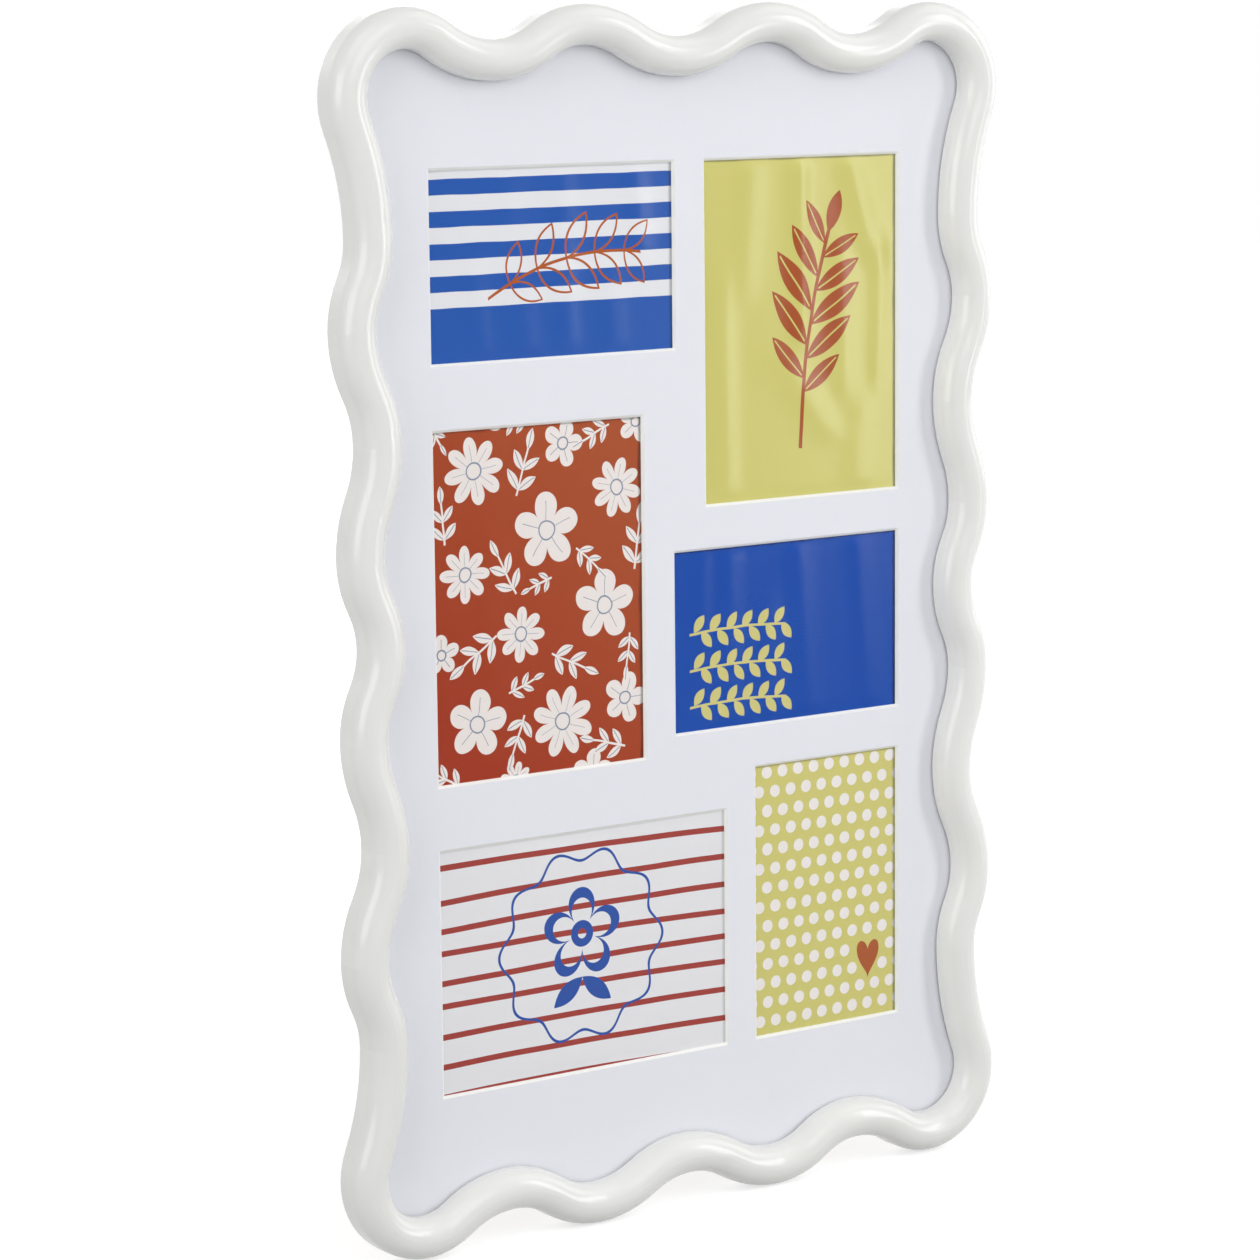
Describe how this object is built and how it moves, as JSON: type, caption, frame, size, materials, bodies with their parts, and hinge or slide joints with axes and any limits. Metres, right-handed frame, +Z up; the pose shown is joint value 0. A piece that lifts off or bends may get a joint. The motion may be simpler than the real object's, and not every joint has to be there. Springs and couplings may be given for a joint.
{
  "type": "collage photo frame",
  "caption": "Wall-hung collage photo frame with a wavy rounded moulding, clear pane, bevelled mat, photo cards, back board, turn buttons and hanging rings.",
  "frame": {"origin": "centre of the back board's rear face, which is flush with the moulding's rear", "axes": "+X to the right seen from the front, +Z up as the frame hangs, -Y out of the front, +Y towards the wall"},
  "size_m": [0.4016, 0.024, 0.6082],
  "materials": {
    "white_moulding": "satin gloss, warm white, moulded",
    "clear_pane": "clear, polished",
    "mat_paper": "smooth white mat board with a white core",
    "print_white": "semi-gloss print",
    "print_green": "gloss print",
    "print_red": "gloss print",
    "print_blue": "gloss print",
    "paper_tape": "cream, matt",
    "fibreboard": "smooth hardboard",
    "button_steel": "zinc-plated pressed steel",
    "screw_steel": "zinc-plated steel",
    "strap_steel": "zinc-plated pressed steel",
    "ring_steel": "zinc-plated wire",
    "bumper_rubber": "translucent grey, matt"
  },
  "bodies": {
    "frame": {"frame_moulding": "white_moulding", "glazing": "clear_pane", "mat_board": "mat_paper", "print_stripes": "print_white", "print_sprig": "print_green", "print_florals": "print_red", "print_waves": "print_blue", "print_lines": "print_white", "print_dots": "print_green", "photo_tapes": "paper_tape", "back_board": "fibreboard", "turn_button_screws": "screw_steel", "hanger_screws": "screw_steel", "hanger_strap_left": "strap_steel", "hanger_strap_right": "strap_steel", "bumper_left": "bumper_rubber", "bumper_right": "bumper_rubber"},
    "turn_button_left_upper": {"turn_button_left_upper": "button_steel"},
    "turn_button_left_lower": {"turn_button_left_lower": "button_steel"},
    "turn_button_right_upper": {"turn_button_right_upper": "button_steel"},
    "turn_button_right_lower": {"turn_button_right_lower": "button_steel"},
    "turn_button_top_left": {"turn_button_top_left": "button_steel"},
    "turn_button_top_right": {"turn_button_top_right": "button_steel"},
    "turn_button_bottom_left": {"turn_button_bottom_left": "button_steel"},
    "turn_button_bottom_right": {"turn_button_bottom_right": "button_steel"},
    "hanger_ring_left": {"hanger_ring_left": "ring_steel"},
    "hanger_ring_right": {"hanger_ring_right": "ring_steel"}
  },
  "joints": [
    {"name": "turn_left_upper", "type": "hinge", "parent": "frame", "child": "turn_button_left_upper", "pos_m": [-0.18905, 0.0006, 0.1518], "axis": [0, 1, 0], "continuous": true},
    {"name": "turn_left_lower", "type": "hinge", "parent": "frame", "child": "turn_button_left_lower", "pos_m": [-0.18905, 0.0006, -0.1518], "axis": [0, 1, 0], "continuous": true},
    {"name": "turn_right_upper", "type": "hinge", "parent": "frame", "child": "turn_button_right_upper", "pos_m": [0.18905, 0.0006, 0.1518], "axis": [0, 1, 0], "continuous": true},
    {"name": "turn_right_lower", "type": "hinge", "parent": "frame", "child": "turn_button_right_lower", "pos_m": [0.18905, 0.0006, -0.1518], "axis": [0, 1, 0], "continuous": true},
    {"name": "turn_top_left", "type": "hinge", "parent": "frame", "child": "turn_button_top_left", "pos_m": [-0.0558, 0.0006, 0.29195], "axis": [0, 1, 0], "continuous": true},
    {"name": "turn_top_right", "type": "hinge", "parent": "frame", "child": "turn_button_top_right", "pos_m": [0.0558, 0.0006, 0.29195], "axis": [0, 1, 0], "continuous": true},
    {"name": "turn_bottom_left", "type": "hinge", "parent": "frame", "child": "turn_button_bottom_left", "pos_m": [-0.0558, 0.0006, -0.29195], "axis": [0, 1, 0], "continuous": true},
    {"name": "turn_bottom_right", "type": "hinge", "parent": "frame", "child": "turn_button_bottom_right", "pos_m": [0.0558, 0.0006, -0.29195], "axis": [0, 1, 0], "continuous": true},
    {"name": "ring_swing_left", "type": "hinge", "parent": "frame", "child": "hanger_ring_left", "pos_m": [-0.18885, 0.00233, 0.268], "axis": [1, 0, 0], "range_deg": [0, 180]},
    {"name": "ring_swing_right", "type": "hinge", "parent": "frame", "child": "hanger_ring_right", "pos_m": [0.18885, 0.00233, 0.268], "axis": [1, 0, 0], "range_deg": [0, 180]}
  ]
}
